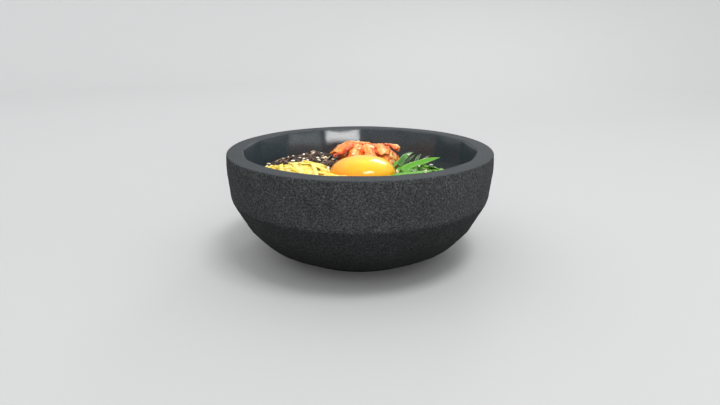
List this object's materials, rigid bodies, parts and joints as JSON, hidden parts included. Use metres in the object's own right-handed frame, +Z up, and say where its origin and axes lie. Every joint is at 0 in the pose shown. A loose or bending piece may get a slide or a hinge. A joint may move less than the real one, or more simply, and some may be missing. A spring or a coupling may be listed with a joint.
{
  "type": "bibimbap in a stone bowl",
  "caption": "Round stone bowl of rice topped with a raw egg yolk, shredded omelette, seasoned beef, kimchi and green blades.",
  "frame": {"origin": "centre of the bowl's flat foot, on the surface that it stands on", "axes": "+Z up, -Y towards the diner, +X to the diner's right"},
  "size_m": [0.1704, 0.1704, 0.069],
  "materials": {
    "stone": "carved charcoal stone, pecked outside, honed on the rim and inside",
    "rice": "steamed short-grain rice, moist",
    "yolk": "raw yolk under a wet skin",
    "omelette": "thin fried egg, cut into strips",
    "beef": "shredded beef browned in soy and sesame oil",
    "kimchi": "wet cabbage leaf stained by chilli paste",
    "greens": "blanched green blades with a thin film of oil"
  },
  "bodies": {
    "root": {"stone_bowl": "stone", "rice_bed": "rice", "egg_yolk": "yolk", "omelette_strips": "omelette", "seasoned_beef": "beef", "kimchi_heap": "kimchi", "kimchi_leaf_1": "kimchi", "kimchi_leaf_2": "kimchi", "kimchi_leaf_3": "kimchi", "kimchi_leaf_4": "kimchi", "kimchi_leaf_5": "kimchi", "kimchi_leaf_6": "kimchi", "kimchi_tip": "kimchi", "greens": "greens", "green_blade_1": "greens", "green_blade_2": "greens", "green_blade_3": "greens", "green_blade_4": "greens", "green_blade_5": "greens", "green_blade_6": "greens", "green_blade_7": "greens", "green_blade_8": "greens"}
  },
  "joints": []
}
